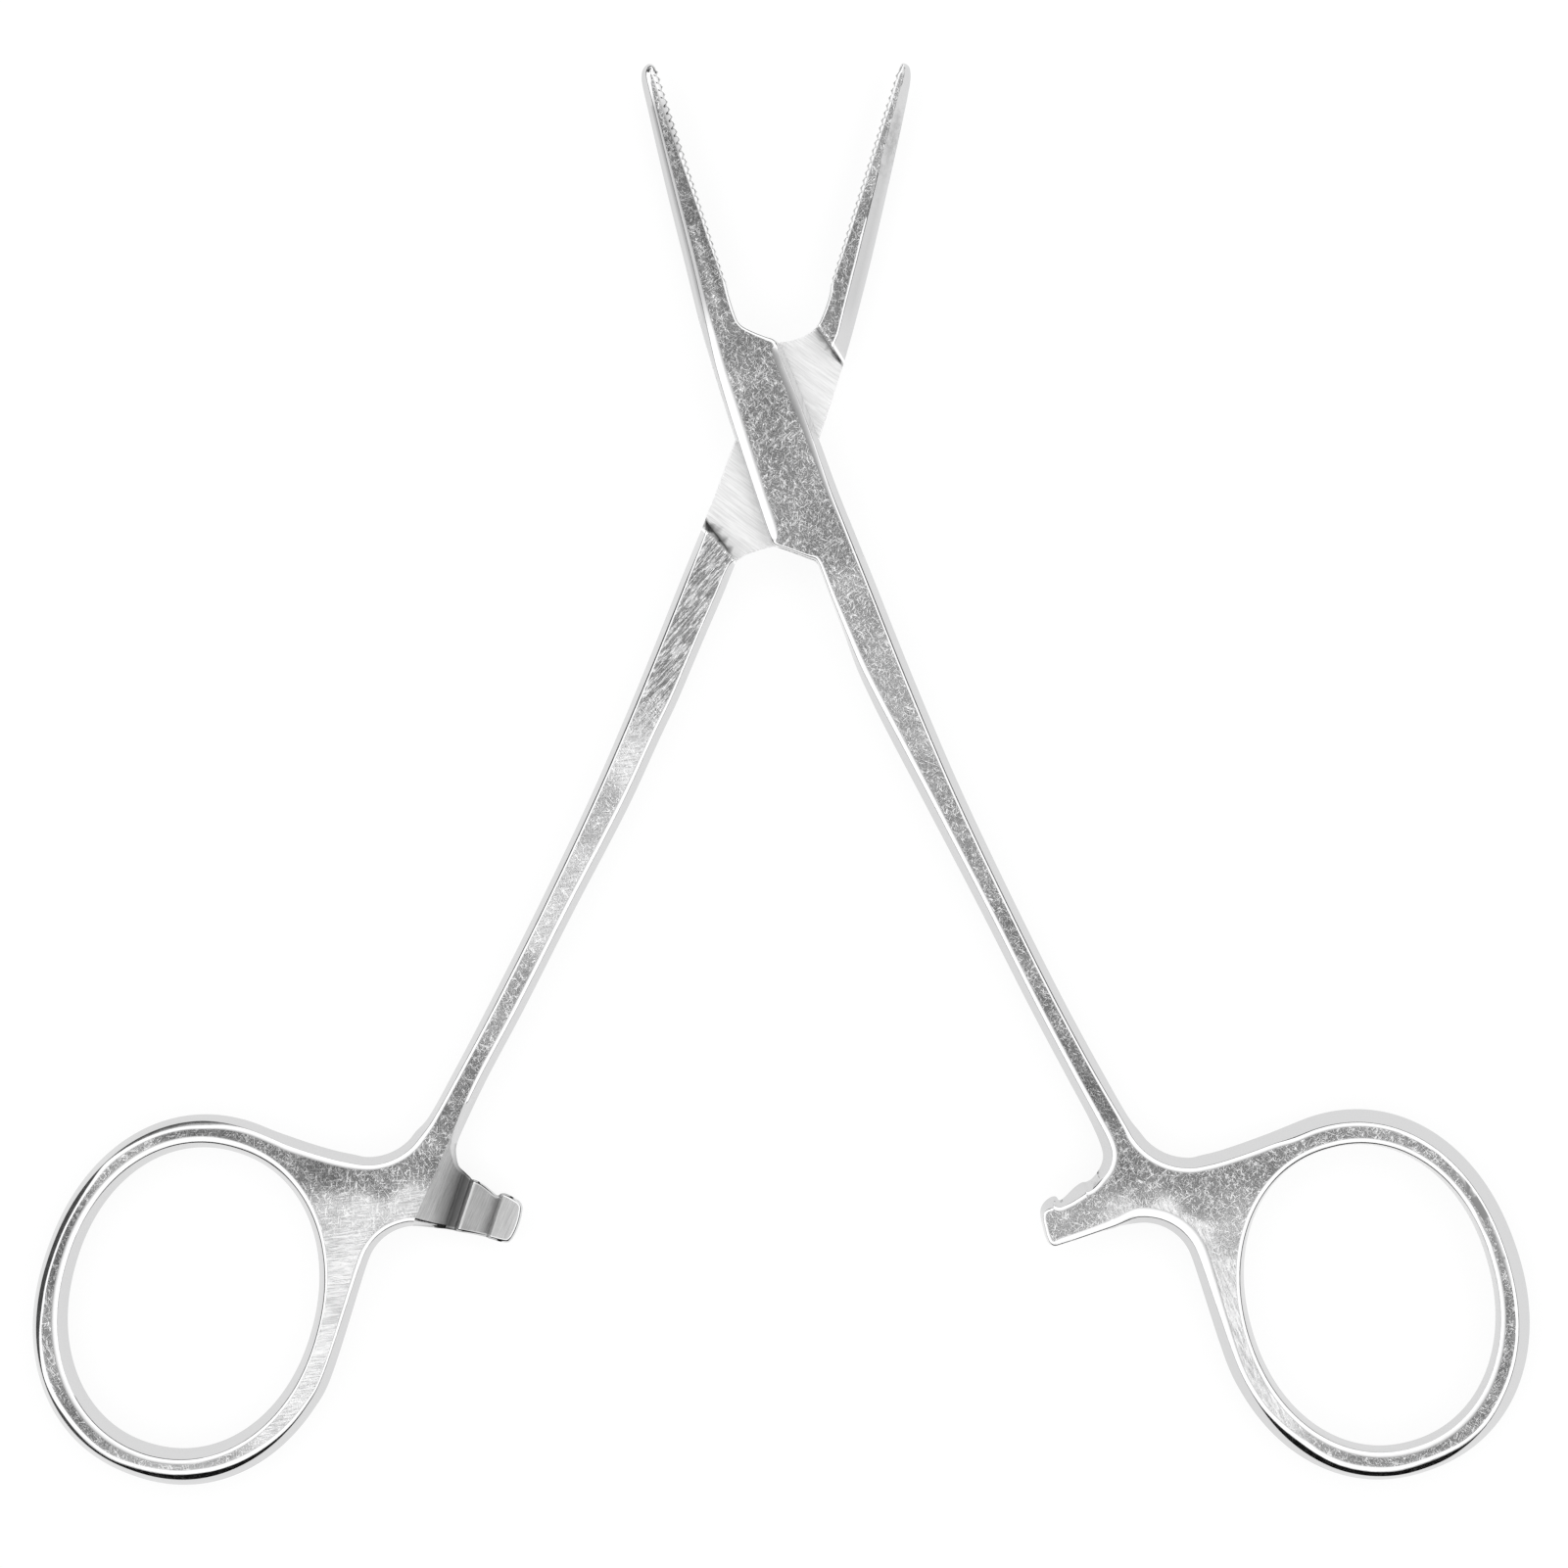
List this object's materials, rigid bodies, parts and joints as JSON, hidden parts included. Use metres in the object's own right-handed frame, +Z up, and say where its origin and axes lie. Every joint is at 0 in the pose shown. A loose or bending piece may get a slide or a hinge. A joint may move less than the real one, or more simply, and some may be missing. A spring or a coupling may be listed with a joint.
{
  "type": "locking forceps",
  "caption": "Straight box-lock forceps lying open: crossed steel arms with serrated jaws, finger rings and a ratchet that locks them shut.",
  "frame": {"origin": "where the pivot pin's axis meets the plane that the box rests on", "axes": "+Z up along the pivot pin's axis, square to the flat of the instrument; +Y up the middle between the open arms, towards the jaws; +X to the right, the side on which the ring of the slotted arm lies"},
  "size_m": [0.118, 0.1121, 0.004],
  "materials": {
    "box_arm_steel": "satin top faces with fine random scratches, polished bevels and finger ring",
    "tongue_arm_steel": "satin top faces with fine random scratches, polished bevels and finger ring, finely ground tongue",
    "pin_steel": "satin, ground flush with the box"
  },
  "bodies": {
    "slotted_arm": {"box_arm": "box_arm_steel", "pivot_pin": "pin_steel"},
    "inner_arm": {"tongue_arm": "tongue_arm_steel"}
  },
  "joints": [
    {"name": "box_joint", "type": "hinge", "parent": "slotted_arm", "child": "inner_arm", "pos_m": [0, 0, 0.002], "axis": [0, 0, 1], "range_deg": [-18.8, 36.2]}
  ]
}
